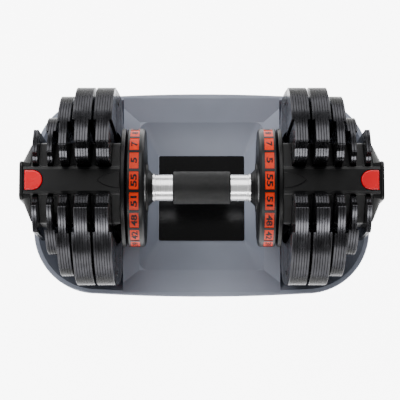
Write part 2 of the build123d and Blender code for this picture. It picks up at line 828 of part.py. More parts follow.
def basin(drop):
    """Upper stage of the funnel between the pockets, and all above it, lowered by drop."""
    with BuildPart() as room:
        with BuildSketch(Plane.XY.offset(RIM_Z - drop)):
            Rectangle(2 * DECK_TOP_X, 2 * (TRAY_HALF_Y - RIM_WIDE))
        with BuildSketch(Plane.XY.offset(WELL_TOP_Z - drop)):
            Rectangle(2 * WELL_TOP_X, 2 * WELL_TOP_Y)
        loft()
        with BuildSketch(Plane.XY.offset(RIM_Z - drop)):
            Rectangle(2 * DECK_TOP_X, 2 * (TRAY_HALF_Y - RIM_WIDE))
        extrude(amount=RIM_Z)
    return room.part


def well(grow):
    """Lower stage of the funnel, down to the panel, grown by the thickness of its wall."""
    with BuildPart() as room:
        with BuildSketch(Plane.XY.offset(WELL_TOP_Z + 0.01)):
            RectangleRounded(2 * (WELL_TOP_X + grow), 2 * (WELL_TOP_Y + grow), WELL_ROUND)
        with BuildSketch(Plane.XY.offset(WELL_FLOOR_Z)):
            half = PANEL_HALF + PANEL_GAP + grow
            RectangleRounded(2 * half, 2 * half, 2)
        loft()
        if grow:
            with BuildSketch(Plane.XY.offset(WELL_FLOOR_Z)):
                RectangleRounded(2 * half, 2 * half, 2)
            extrude(amount=-2 * WELL_FLOOR_Z)
    return room.part


with BuildPart() as block:
    with BuildSketch(Plane.XY.offset(RIM_Z)):
        add(tray_outline(0))
    extrude(amount=-RIM_LIP)
    with BuildSketch(Plane.XY.offset(RIM_Z - RIM_LIP)):
        add(tray_outline(0.8))
    extrude(amount=FOOT_H - RIM_Z + RIM_LIP, taper=DRAFT_OUT)
    fillet(block.edges().filter_by_position(Axis.Z, RIM_Z - 0.1, RIM_Z + 0.1), RIM_ROUND)

with BuildPart() as hollow:
    with BuildSketch(Plane.XY.offset(FOOT_H - 1)):
        Rectangle(2 * (DECK_HALF - SKIN), 2 * HOLLOW_HALF_Y)
    extrude(amount=RIM_Z)
    add(basin(SKIN), mode=Mode.SUBTRACT)
    add(well(SKIN), mode=Mode.SUBTRACT)

with BuildPart() as deck:
    with BuildSketch(Plane.XY):
        Rectangle(2 * DECK_HALF, 3 * TRAY_HALF_Y)
    extrude(amount=2 * RIM_Z)
    add(block.part, mode=Mode.INTERSECT)
    add(basin(0), mode=Mode.SUBTRACT)
    add(well(0), mode=Mode.SUBTRACT)
    add(hollow.part, mode=Mode.SUBTRACT)
    with BuildSketch(Plane.XY.offset(WELL_TOP_Z)):
        with Locations((FLANGE_OUT - 2, 0), (2 - FLANGE_OUT, 0)):
            Rectangle(3.0, 2 * REST_HALF)
    extrude(amount=14)
    with BuildSketch(at_x(-DECK_HALF)):
        Circle(DIAL_R + 0.3)
    extrude(amount=2 * DECK_HALF, mode=Mode.SUBTRACT)

with BuildPart() as tray:
    add(block.part)
    with BuildSketch(Plane.XY.offset(RIM_Z)):
        add(tray_outline(RIM_WIDE))
    extrude(amount=FLOOR_Z - RIM_Z, taper=DRAFT_IN, mode=Mode.SUBTRACT)
    with BuildSketch(Plane.XY):
        Rectangle(2 * DECK_HALF, 3 * TRAY_HALF_Y)
    extrude(amount=2 * RIM_Z, mode=Mode.SUBTRACT)
    add(deck.part)
save(tray.part, "tray_shell")

with BuildPart() as tray_room:
    with BuildSketch(Plane.XY.offset(RIM_Z)):
        add(tray_outline(RIM_WIDE + 0.3))
    extrude(amount=FLOOR_Z - RIM_Z, taper=DRAFT_IN)
    with BuildSketch(Plane.XY.offset(RIM_Z)):
        add(tray_outline(RIM_WIDE + 0.3))
    extrude(amount=2 * AXIS_Z)

with BuildPart() as panel:
    with BuildSketch(Plane.XY.offset(WELL_FLOOR_Z)):
        RectangleRounded(2 * PANEL_HALF - 0.6, 2 * PANEL_HALF - 0.6, 2)
    extrude(amount=0.8)
save(panel.part, "tray_panel")

with BuildPart() as feet:
    with BuildSketch(Plane.XY):
        with GridLocations(230, 130, 2, 2):
            Circle(9)
    extrude(amount=FOOT_H)
    chamfer(feet.edges().group_by(Axis.Z)[0], 0.6)
save(feet.part, "tray_feet")

with BuildPart() as cradle:
    with BuildSketch(Plane.XY.offset(FLOOR_Z)):
        with Locations((DECK_HALF + 0.1, 0)):
            Rectangle(
                PLATES[-1][0] + 4 - DECK_HALF - 0.1,
                2 * CRADLE_HALF,
                align=(Align.MIN, Align.CENTER),
            )
    extrude(amount=CRADLE_RISE, taper=2)
    for x, radius, _, _, horn_sheets, cut_half in PLATES:
        half = horn_sheets * SHEET / 2 + (SHEET if cut_half else 0) + 1.0
        with BuildSketch(at_x(x - half)):
            with Locations((0, PLATE_RISE)):
                Circle(radius + CRADLE_GAP)
        extrude(amount=2 * half, mode=Mode.SUBTRACT)
    with BuildSketch(at_x(DECK_HALF)):
        with Locations((0, PLATE_RISE)):
            Circle(PLATES[0][1] + CRADLE_GAP)
    extrude(amount=PLATES[0][0] - DECK_HALF, mode=Mode.SUBTRACT)
    for start, finish, radius in zip(CRADLE_ENDS, CRADLE_ENDS[1:], CRADLE_STEPS):
        with BuildSketch(at_x(start)):
            Circle(radius)
        extrude(amount=finish - start, mode=Mode.SUBTRACT)
    add(tray_room.part, mode=Mode.INTERSECT)
save_pair(cradle.part, "cradle")
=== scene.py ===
"""Looks of an adjustable dumbbell that rests in its moulded tray.

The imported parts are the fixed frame. Each sub-assembly below dresses its own parts in
procedural finishes and adds the fine pieces that they carry, such as the dial's numbers
and the grip's knurling. Everything is in metres: +X runs along the bar and +Z is up.
"""

import json
import logging
import math
from dataclasses import dataclass, field
from enum import Enum

import bmesh
import bpy
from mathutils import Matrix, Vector

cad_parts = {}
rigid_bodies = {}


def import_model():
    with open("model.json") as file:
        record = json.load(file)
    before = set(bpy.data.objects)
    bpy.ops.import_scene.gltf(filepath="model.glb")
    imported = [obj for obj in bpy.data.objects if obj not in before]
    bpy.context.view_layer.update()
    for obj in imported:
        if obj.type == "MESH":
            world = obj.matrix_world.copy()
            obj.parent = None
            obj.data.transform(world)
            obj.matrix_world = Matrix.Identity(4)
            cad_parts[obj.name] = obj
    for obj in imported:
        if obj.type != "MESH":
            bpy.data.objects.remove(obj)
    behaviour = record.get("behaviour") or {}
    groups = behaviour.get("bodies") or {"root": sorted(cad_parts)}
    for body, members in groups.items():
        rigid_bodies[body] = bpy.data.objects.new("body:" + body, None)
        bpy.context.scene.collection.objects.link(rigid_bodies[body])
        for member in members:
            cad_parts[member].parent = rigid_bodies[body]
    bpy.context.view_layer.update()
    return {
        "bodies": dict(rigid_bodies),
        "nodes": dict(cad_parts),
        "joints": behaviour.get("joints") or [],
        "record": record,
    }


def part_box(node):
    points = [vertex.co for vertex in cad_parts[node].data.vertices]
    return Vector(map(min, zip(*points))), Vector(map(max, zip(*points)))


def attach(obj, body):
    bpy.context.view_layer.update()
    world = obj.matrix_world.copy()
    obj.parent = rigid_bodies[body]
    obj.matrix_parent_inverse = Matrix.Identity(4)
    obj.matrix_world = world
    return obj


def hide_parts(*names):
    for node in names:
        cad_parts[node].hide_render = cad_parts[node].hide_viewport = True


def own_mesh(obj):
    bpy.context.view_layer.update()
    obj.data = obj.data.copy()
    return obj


MM = 0.001
PLATES_A_SIDE = 5
LOG = logging.getLogger("dumbbell")

Colour = tuple[float, float, float]


class Side(Enum):
    """End of the dumbbell, with the sign of its X."""

    LEFT = -1
    RIGHT = 1

    def node(self, name: str) -> str:
        """Full node name of a part of this end."""
        return f"{self.name.lower()}_{name}"


# ------------------------------------------------------------------ finishes


class NodeBench:
    """Short ways to lay out one material's shader nodes.

    Args:
        name: name of the material.
        colour: base colour, linear RGB.
        roughness: base roughness.
        metallic: 1 for bare metal, else 0.
    """

    def __init__(self, name: str, colour: Colour, roughness: float, metallic: float = 0.0) -> None:
        self.material = bpy.data.materials.new(name)
        self.material.use_nodes = True
        self.material.diffuse_color = (*colour, 1.0)
        self.tree = self.material.node_tree
        self.shader = self.tree.nodes["Principled BSDF"]
        self.put("Base Color", (*colour, 1.0))
        self.put("Roughness", roughness)
        self.put("Metallic", metallic)

    def put(self, socket: str, value: object) -> None:
        """Set a uniform value on the shader's own socket.

        Args:
            socket: name of the socket.
            value: number or RGBA colour.
        """
        self.shader.inputs[socket].default_value = value

    def node(self, kind: str, **settings: object) -> bpy.types.Node:
        """Add a node and set its properties.

        Args:
            kind: Blender's type name of the node.
            settings: properties to set on it.

        Returns:
            The node.
        """
        made = self.tree.nodes.new(kind)
        for key, value in settings.items():
            setattr(made, key, value)
        return made

    def join(self, source: bpy.types.NodeSocket, target: bpy.types.NodeSocket) -> None:
        """Link an output socket to an input socket."""
        self.tree.links.new(source, target)

    def place(self, stretch: tuple[float, float, float] = (1, 1, 1)) -> bpy.types.NodeSocket:
        """Object coordinates.

        Args:
            stretch: factor on each axis; a small one draws the pattern out along it.

        Returns:
            The vector socket.
        """
        where = self.node("ShaderNodeTexCoord")
        mapping = self.node("ShaderNodeMapping")
        mapping.inputs["Scale"].default_value = stretch
        self.join(where.outputs["Object"], mapping.inputs["Vector"])
        return mapping.outputs["Vector"]

    def noise(self, scale: float, detail: float = 4.0,
              stretch: tuple[float, float, float] = (1, 1, 1)) -> bpy.types.NodeSocket:
        """Value of a noise texture.

        Args:
            scale: features per metre.
            detail: octaves of finer noise.
            stretch: factor on each axis.

        Returns:
            The value socket, around 0.5.
        """
        made = self.node("ShaderNodeTexNoise")
        made.inputs["Scale"].default_value = scale
        made.inputs["Detail"].default_value = detail
        self.join(self.place(stretch), made.inputs["Vector"])
        return made.outputs["Fac"]

    def ramp(self, source: bpy.types.NodeSocket,
             stops: list[tuple[float, Colour]]) -> bpy.types.NodeSocket:
        """Colour ramp over a value.

        Args:
            source: the value.
            stops: place from 0 to 1 and colour of each stop.

        Returns:
            The colour socket.
        """
        made = self.node("ShaderNodeValToRGB")
        elements = made.color_ramp.elements
        while len(elements) < len(stops):
            elements.new(0.5)
        for element, (at, colour) in zip(elements, stops):
            element.position = at
            element.color = (*colour, 1.0)
        self.join(source, made.inputs["Fac"])
        return made.outputs["Color"]

    def span(self, source: bpy.types.NodeSocket, low: float, high: float,
             from_low: float = 0.3, from_high: float = 0.7) -> bpy.types.NodeSocket:
        """Map a value linearly.

        Args:
            source: the value.
            low: result at from_low.
            high: result at from_high.
            from_low: start of the value's range.
            from_high: end of the value's range.

        Returns:
            The value socket.
        """
        made = self.node("ShaderNodeMapRange")
        made.inputs["From Min"].default_value = from_low
        made.inputs["From Max"].default_value = from_high
        made.inputs["To Min"].default_value = low
        made.inputs["To Max"].default_value = high
        self.join(source, made.inputs["Value"])
        return made.outputs["Result"]

    def bump(self, height: bpy.types.NodeSocket, strength: float, distance: float,
             under: bpy.types.NodeSocket | None = None) -> bpy.types.NodeSocket:
        """Bump from a height.

        Args:
            height: the height's value.
            strength: share of the bump that shows.
            distance: depth in metres of a height of 1.
            under: an earlier bump to lie over.

        Returns:
            The normal socket.
        """
        made = self.node("ShaderNodeBump")
        made.inputs["Strength"].default_value = strength
        made.inputs["Distance"].default_value = distance
        self.join(height, made.inputs["Height"])
        if under is not None:
            self.join(under, made.inputs["Normal"])
        return made.outputs["Normal"]

    def mottled(self, source: bpy.types.NodeSocket, colour: Colour, low: float, high: float,
                from_low: float = 0.3, from_high: float = 0.7) -> bpy.types.NodeSocket:
        """A colour that a pattern makes darker and lighter.

        Args:
            source: value of the pattern.
            colour: the colour, linear RGB.
            low: factor on it where the pattern is at from_low.
            high: factor on it where the pattern is at from_high.
            from_low: start of the pattern's range.
            from_high: end of the pattern's range.

        Returns:
            The colour socket.
        """
        return self.ramp(source, [(from_low, scaled(colour, low)), (from_high, scaled(colour, high))])

    def colour_from(self, source: bpy.types.NodeSocket) -> None:
        """Drive the base colour."""
        self.join(source, self.shader.inputs["Base Color"])

    def roughness_from(self, source: bpy.types.NodeSocket) -> None:
        """Drive the roughness."""
        self.join(source, self.shader.inputs["Roughness"])

    def normal_from(self, source: bpy.types.NodeSocket) -> None:
        """Drive the normal."""
        self.join(source, self.shader.inputs["Normal"])


def scaled(colour: Colour, factor: float) -> Colour:
    """Make a colour lighter or darker.

    Args:
        colour: linear RGB.
        factor: factor on each channel.

    Returns:
        The colour, each channel at most 1.
    """
    return tuple(min(1.0, channel * factor) for channel in colour)


@dataclass(frozen=True)
class MouldedPlastic:
    """Injection-moulded plastic with a fine spark-eroded grain.

    Args:
        name: name of the material.
        colour: base colour, linear RGB.
        roughness: middle roughness.
        grain: grains per metre.
        grain_depth: depth of the grain.
        grain_strength: share of the grain that shows.
        specular: specular level.
        mottle: share by which the colour varies.
        unevenness: amount by which the roughness varies.
        cloud: clouds of the colour per metre.
        handling: patches of roughness per metre.
    """

    name: str
    colour: Colour
    roughness: float = 0.42
    grain: float = 2600.0
    grain_depth: float = 0.12 * MM
    grain_strength: float = 0.12
    specular: float = 0.5
    mottle: float = 0.12
    unevenness: float = 0.055
    cloud: float = 28.0
    handling: float = 90.0

    def make(self) -> bpy.types.Material:
        """Build the material."""
        bench = NodeBench(self.name, self.colour, self.roughness)
        bench.put("Specular IOR Level", self.specular)
        cloud = bench.noise(self.cloud, 3.0)
        bench.colour_from(bench.mottled(cloud, self.colour, 1 - self.mottle, 1 + self.mottle))
        fine = bench.noise(self.grain, 2.0)
        smooth, dull = self.roughness - self.unevenness, self.roughness + self.unevenness
        bench.roughness_from(bench.span(bench.noise(self.handling, 4.0), smooth, dull))
        bench.normal_from(bench.bump(fine, self.grain_strength, self.grain_depth))
        return bench.material


@dataclass(frozen=True)
class PaintedSheet:
    """Black gloss paint over stacked steel sheets, whose edges are a little rounded, with shade painted into
    the joints between sheets.

    Args:
        name: name of the material.
        outer: X of the stack's outboard face, from which the sheets are counted.
        colour: colour of the paint's gloss, linear RGB.
        roughness: middle roughness.
        metallic: metallic value of the rims.
        face_metallic: metallic value of the flat faces.
        edge_tint: share of the gloss that is left at a glancing angle.
        specular: specular level.
        coat: weight of the clear coat.
        coat_roughness: roughness of the clear coat.
        pitch: thickness of one sheet.
        crown: how far a sheet's edge is rounded.
        joint_dark: share of the painted shade that darkens a joint.
        joint_colour: factor on the colour inside a joint, which paints its shade.
        wave: depth of the waves that shearing leaves on a rim.
        peel: depth of the paint's orange peel.
    """

    name: str
    outer: float
    colour: Colour = (0.043, 0.043, 0.047)
    roughness: float = 0.22
    metallic: float = 0.88
    face_metallic: float = 0.15
    edge_tint: float = 0.26
    specular: float = 0.30
    coat: float = 0.07
    coat_roughness: float = 0.06
    pitch: float = 2.7 * MM
    crown: float = 0.07 * MM
    joint_dark: float = 0.5
    joint_colour: float = 0.15
    wave: float = 0.5 * MM
    peel: float = 0.1 * MM

    def make(self) -> bpy.types.Material:
        """Build the material."""
        bench = NodeBench(self.name, self.colour, self.roughness, self.metallic)
        bench.put("Specular IOR Level", self.specular)
        bench.put("Specular Tint", (self.edge_tint, self.edge_tint, self.edge_tint, 1.0))
        bench.put("Coat Weight", self.coat)
        bench.put("Coat Roughness", self.coat_roughness)
        bench.join(self._rim_share(bench), bench.shader.inputs["Metallic"])
        edge = self._across_sheet(bench)
        cloud = bench.noise(55.0, 5.0)
        tint = bench.mottled(cloud, self.colour, 0.75, 1.35)
        # Painted shade: the colour darkens towards each joint between the sheets, as if shade fell into it.
        groove = bench.node("ShaderNodeMix", data_type="RGBA")
        bench.join(bench.span(edge, 0.0, self.joint_dark, 0.78, 1.0), groove.inputs["Factor"])
        bench.join(tint, groove.inputs["A"])
        groove.inputs["B"].default_value = (*scaled(self.colour, self.joint_colour), 1.0)
        bench.colour_from(groove.outputs["Result"])
        wear = bench.noise(150.0, 6.0, (1.0, 0.35, 0.35))
        bench.roughness_from(bench.span(wear, self.roughness - 0.05, self.roughness + 0.07))
        crown = bench.bump(bench.span(edge, 1.0, 0.0, 0.35, 1.0), 1.0, self.crown)
        waves = bench.bump(bench.noise(95.0, 3.0, (2.5, 1.0, 1.0)), 0.13, self.wave, crown)
        bench.normal_from(bench.bump(bench.noise(1100.0, 3.0), 0.06, self.peel, waves))
        return bench.material

    def _rim_share(self, bench: NodeBench) -> bpy.types.NodeSocket:
        """Metallic value of each point.

        Args:
            bench: nodes of the material.

        Returns:
            The value socket: low on the flat faces across the bar, high on the rims.
        """
        where = bench.node("ShaderNodeTexCoord")
        split = bench.node("ShaderNodeSeparateXYZ")
        bench.join(where.outputs["Normal"], split.inputs["Vector"])
        facing = self._step(bench, "ABSOLUTE", split.outputs["X"])
        return bench.span(facing, self.metallic, self.face_metallic, 0.6, 0.9)

    def _across_sheet(self, bench: NodeBench) -> bpy.types.NodeSocket:
        """Place of each point in its sheet's thickness.

        Args:
            bench: nodes of the material.

        Returns:
            The value socket: 0 in the middle of a sheet, 1 at a joint.
        """
        split = bench.node("ShaderNodeSeparateXYZ")
        bench.join(bench.place(), split.inputs["Vector"])
        size = self._step(bench, "ABSOLUTE", split.outputs["X"])
        from_face = self._step(bench, "SUBTRACT", size, self.outer)
        sheets = self._step(bench, "DIVIDE", from_face, self.pitch)
        share = self._step(bench, "FRACT", sheets)
        offset = self._step(bench, "SUBTRACT", share, 0.5)
        return self._step(bench, "MULTIPLY", self._step(bench, "ABSOLUTE", offset), 2.0)

    @staticmethod
    def _step(bench: NodeBench, operation: str, value: bpy.types.NodeSocket,
              other: float = 0.0) -> bpy.types.NodeSocket:
        """One step of arithmetic.

        Args:
            bench: nodes of the material.
            operation: Blender's name of the step.
            value: the value it starts from.
            other: the second number, if the step takes one.

        Returns:
            The value socket.
        """
        made = bench.node("ShaderNodeMath", operation=operation)
        bench.join(value, made.inputs[0])
        made.inputs[1].default_value = other
        return made.outputs["Value"]


@dataclass(frozen=True)
class PolishedChrome:
    """Turned chrome with faint rings round the bar; a matt share of near-white colour paints in its bright
    reflections.
    """

    name: str = "collar_chrome"
    colour: Colour = (0.97, 0.97, 0.98)
    roughness: float = 0.22
    # Painted reflection: metallic below 1 leaves a matt share of the near-white colour, which stands in for
    # reflected light; the rest is real chrome.
    metallic: float = 0.60
    ring_pitch: float = 1500.0
    ring_depth: float = 0.02 * MM

    def make(self) -> bpy.types.Material:
        """Build the material."""
        bench = NodeBench(self.name, self.colour, self.roughness, self.metallic)
        rings = bench.noise(self.ring_pitch, 3.0, (1.0, 0.02, 0.02))
        bench.roughness_from(bench.span(rings, self.roughness - 0.03, self.roughness + 0.07))
        bench.normal_from(bench.bump(rings, 0.03, self.ring_depth))
        return bench.material


@dataclass(frozen=True)
class TurnedSteel:
    """Plain machined steel or brass of the inner parts."""

    name: str
    colour: Colour = (0.46, 0.47, 0.49)
    roughness: float = 0.32
    ring_pitch: float = 1100.0
    ring_depth: float = 0.06 * MM

    def make(self) -> bpy.types.Material:
        """Build the material."""
        bench = NodeBench(self.name, self.colour, self.roughness, 1.0)
        rings = bench.noise(self.ring_pitch, 4.0, (1.0, 0.03, 0.03))
        bench.roughness_from(bench.span(rings, self.roughness - 0.08, self.roughness + 0.12))
        bench.normal_from(bench.bump(rings, 0.12, self.ring_depth))
        return bench.material


@dataclass(frozen=True)
class MouldedRubber:
    """Dull black rubber with a dusty, slightly uneven skin."""

    name: str = "grip_rubber"
    colour: Colour = (0.0075, 0.0077, 0.0080)
    roughness: float = 0.55
    specular: float = 0.28
    sheen: float = 0.06
    sheen_roughness: float = 0.5
    unevenness: float = 0.08
    grain: float = 3200.0
    grain_depth: float = 0.15 * MM

    def make(self) -> bpy.types.Material:
        """Build the material."""
        bench = NodeBench(self.name, self.colour, self.roughness)
        bench.put("Specular IOR Level", self.specular)
        bench.put("Sheen Weight", self.sheen)
        bench.put("Sheen Roughness", self.sheen_roughness)
        bench.colour_from(bench.mottled(bench.noise(60.0, 6.0), self.colour, 0.75, 1.4))
        smooth, dull = self.roughness - self.unevenness, self.roughness + self.unevenness
        bench.roughness_from(bench.span(bench.noise(300.0, 5.0), smooth, dull))
        bench.normal_from(bench.bump(bench.noise(self.grain, 2.0), 0.25, self.grain_depth))
        return bench.material


@dataclass(frozen=True)
class PrintedInk:
    """Thin opaque print, with the slight mottling of a pad-printed face."""

    name: str
    colour: Colour
    roughness: float = 0.5
    specular: float = 0.16
    unevenness: float = 0.08
    grain: float = 2400.0
    grain_depth: float = 0.06 * MM

    def make(self) -> bpy.types.Material:
        """Build the material."""
        bench = NodeBench(self.name, self.colour, self.roughness)
        bench.put("Specular IOR Level", self.specular)
        bench.colour_from(bench.mottled(bench.noise(420.0, 5.0), self.colour, 0.86, 1.1, 0.25, 0.75))
        smooth, dull = self.roughness - self.unevenness, self.roughness + self.unevenness
        bench.roughness_from(bench.span(bench.noise(800.0, 4.0), smooth, dull))
        bench.normal_from(bench.bump(bench.noise(self.grain, 3.0), 0.08, self.grain_depth))
        return bench.material


class FinishShelf:
    """All finishes of the dumbbell, made once and handed out by material slot."""

    BRIDGE_BLACK: Colour = (0.0060, 0.0060, 0.0064)
    DIAL_BLACK: Colour = (0.0085, 0.0085, 0.0090)
    PANEL_BLACK: Colour = (0.0025, 0.0025, 0.0028)
    INK_BLACK: Colour = (0.012, 0.012, 0.012)
    NUMBER_ORANGE: Colour = (0.84, 0.036, 0.002)
    BUTTON_RED: Colour = (0.97, 0.006, 0.018)
    TRAY_GREY: Colour = (0.345, 0.375, 0.455)
    BUSH_BRONZE: Colour = (0.52, 0.36, 0.17)

    def __init__(self) -> None:
        bridge = MouldedPlastic("bridge_black", self.BRIDGE_BLACK, 0.40, specular=0.30)
        dial = MouldedPlastic("dial_black", self.DIAL_BLACK, 0.36, grain=3000.0, specular=0.24)
        button = MouldedPlastic("button_red", self.BUTTON_RED, 0.26, grain=2000.0, specular=0.42)
        tray = MouldedPlastic(
            "tray_grey", self.TRAY_GREY, 0.50, grain=1800.0, grain_depth=0.2 * MM,
            grain_strength=0.22, specular=0.28, mottle=0.04,
        )
        panel = MouldedPlastic(
            "panel_black", self.PANEL_BLACK, 0.15, grain=900.0, grain_depth=0.05 * MM,
            grain_strength=0.05, specular=0.45, unevenness=0.012,
        )
        self.by_slot: dict[str, bpy.types.Material] = {
            "plate_steel": PaintedSheet("plate_paint", 0.0).make(),
            "black_moulding": bridge.make(),
            "dial_black": dial.make(),
            "number_orange": PrintedInk("number_orange", self.NUMBER_ORANGE, 0.40).make(),
            "chrome": PolishedChrome().make(),
            "grip_rubber": MouldedRubber().make(),
            "button_red": button.make(),
            "tray_grey": tray.make(),
            "panel_black": panel.make(),
            "steel": TurnedSteel("inner_steel").make(),
            "foot_rubber": MouldedRubber("foot_rubber").make(),
            "bearing_brass": TurnedSteel("bush_bronze", self.BUSH_BRONZE, 0.4).make(),
        }
        self.digit_ink = PrintedInk("digit_black", self.INK_BLACK, 0.45).make()

    def dress(self, frame: dict) -> None:
        """Give every carried-over part the finish of its material slot.
        """
        slots = {row["node"]: row["material_slot"] for row in frame["record"]["subparts"]}
        for name, part in frame["nodes"].items():
            part.data.materials.clear()
            part.data.materials.append(self.by_slot[slots[name]])
        for number in range(1, PLATES_A_SIDE + 1):
            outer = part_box(Side.RIGHT.node(f"plate_{number}"))[1].x
            paint = PaintedSheet(f"plate_{number}_paint", outer).make()
            for side in Side:
                frame["nodes"][side.node(f"plate_{number}")].data.materials[0] = paint


# ------------------------------------------------------------------ mesh help


def smooth_by_angle(mesh: bpy.types.Mesh, degrees: float) -> None:
    """Shade a mesh smooth, with sharp edges above an angle.

    Args:
        mesh: the mesh.
        degrees: the angle.
    """
    for polygon in mesh.polygons:
        polygon.use_smooth = True
    mesh.set_sharp_from_angle(angle=math.radians(degrees))


def piece_from(name: str, shape: bmesh.types.BMesh, material: bpy.types.Material) -> bpy.types.Object:
    """Turn a bmesh into a linked object with one material.

    Args:
        name: name of the object and its mesh.
        shape: the bmesh, which is freed.
        material: its finish.

    Returns:
        The object.
    """
    mesh = bpy.data.meshes.new(name)
    shape.to_mesh(mesh)
    shape.free()
    mesh.materials.append(material)
    made = bpy.data.objects.new(name, mesh)
    bpy.context.scene.collection.objects.link(made)
    return made


# ------------------------------------------------------------------ handle


@dataclass
class Grip:
    """Rubber grip with a diamond knurl between two plain ends."""

    shelf: FinishShelf
    around: int = 300
    along: int = 150
    knurl_depth: float = 0.34 * MM
    knurls_around: int = 50
    plain_end: float = 2.2 * MM
    run_in: float = 1.2 * MM
    groove_narrowing: float = 3.0
    edge_round: float = 1.3 * MM

    def build(self) -> bpy.types.Object:
        """Make the knurled sleeve in place of the plain one.

        Returns:
            The sleeve.
        """
        low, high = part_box("grip")
        radius = (high.y - low.y) / 2
        centre = (low + high) / 2
        length = high.x - low.x
        tube_low, tube_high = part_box("handle_tube")
        bore = (tube_high.y - tube_low.y) / 2
        shape = bmesh.new()
        rows = []
        for i in range(self.along + 1):
            x = low.x + length * i / self.along
            from_end = min(x - low.x, high.x - x)
            rows.append(self._ring(shape, x, centre, radius, from_end))
        for first, second in zip(rows, rows[1:]):
            self._bridge(shape, first, second)
        for x, row, flip in ((low.x, rows[0], False), (high.x, rows[-1], True)):
            inner = [shape.verts.new((x, centre.y + bore * math.cos(a), centre.z + bore * math.sin(a)))
                     for a in self._angles()]
            self._bridge(shape, row, inner, not flip)
        bmesh.ops.recalc_face_normals(shape, faces=shape.faces)
        grip = piece_from("grip_sleeve", shape, self.shelf.by_slot["grip_rubber"])
        smooth_by_angle(grip.data, 50)
        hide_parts("grip")
        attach(grip, "handle")
        return grip

    def _angles(self) -> list[float]:
        """Angles of one ring's points."""
        return [math.tau * j / self.around for j in range(self.around)]

    def _ring(self, shape: bmesh.types.BMesh, x: float, centre: Vector, radius: float,
              from_end: float) -> list[bmesh.types.BMVert]:
        """One ring of points, with its share of the knurl.

        Args:
            shape: mesh to add to.
            x: place of the ring along the bar.
            centre: middle of the grip.
            radius: outer radius of the grip.
            from_end: distance to the nearer end.

        Returns:
            The points of the ring.
        """
        fade = max(0.0, min(1.0, (from_end - self.plain_end) / self.run_in))
        drop = 0.0
        if from_end < self.edge_round:
            rest = self.edge_round - from_end
            drop = self.edge_round - math.sqrt(max(0.0, self.edge_round**2 - rest**2))
        pitch = math.tau / self.knurls_around
        made = []
        for angle in self._angles():
            along = x / radius
            first = abs(((angle + along) / pitch) % 1.0 - 0.5) * 2
            second = abs(((angle - along) / pitch) % 1.0 - 0.5) * 2
            groove = max(0.0, 1 - self.groove_narrowing * min(first, second))
            r = radius - drop - self.knurl_depth * fade * groove
            made.append(shape.verts.new((x, centre.y + r * math.cos(angle), centre.z + r * math.sin(angle))))
        return made

    @staticmethod
    def _bridge(shape: bmesh.types.BMesh, first: list[bmesh.types.BMVert],
                second: list[bmesh.types.BMVert], flip: bool = False) -> None:
        """Join two rings of the same size with quads.

        Args:
            shape: mesh to add to.
            first: points of one ring.
            second: points of the other.
            flip: turn the quads over.
        """
        count = len(first)
        for j in range(count):
            k = (j + 1) % count
            corners = (first[j], first[k], second[k], second[j])
            shape.faces.new(corners[::-1] if flip else corners)


# ------------------------------------------------------------------ dials


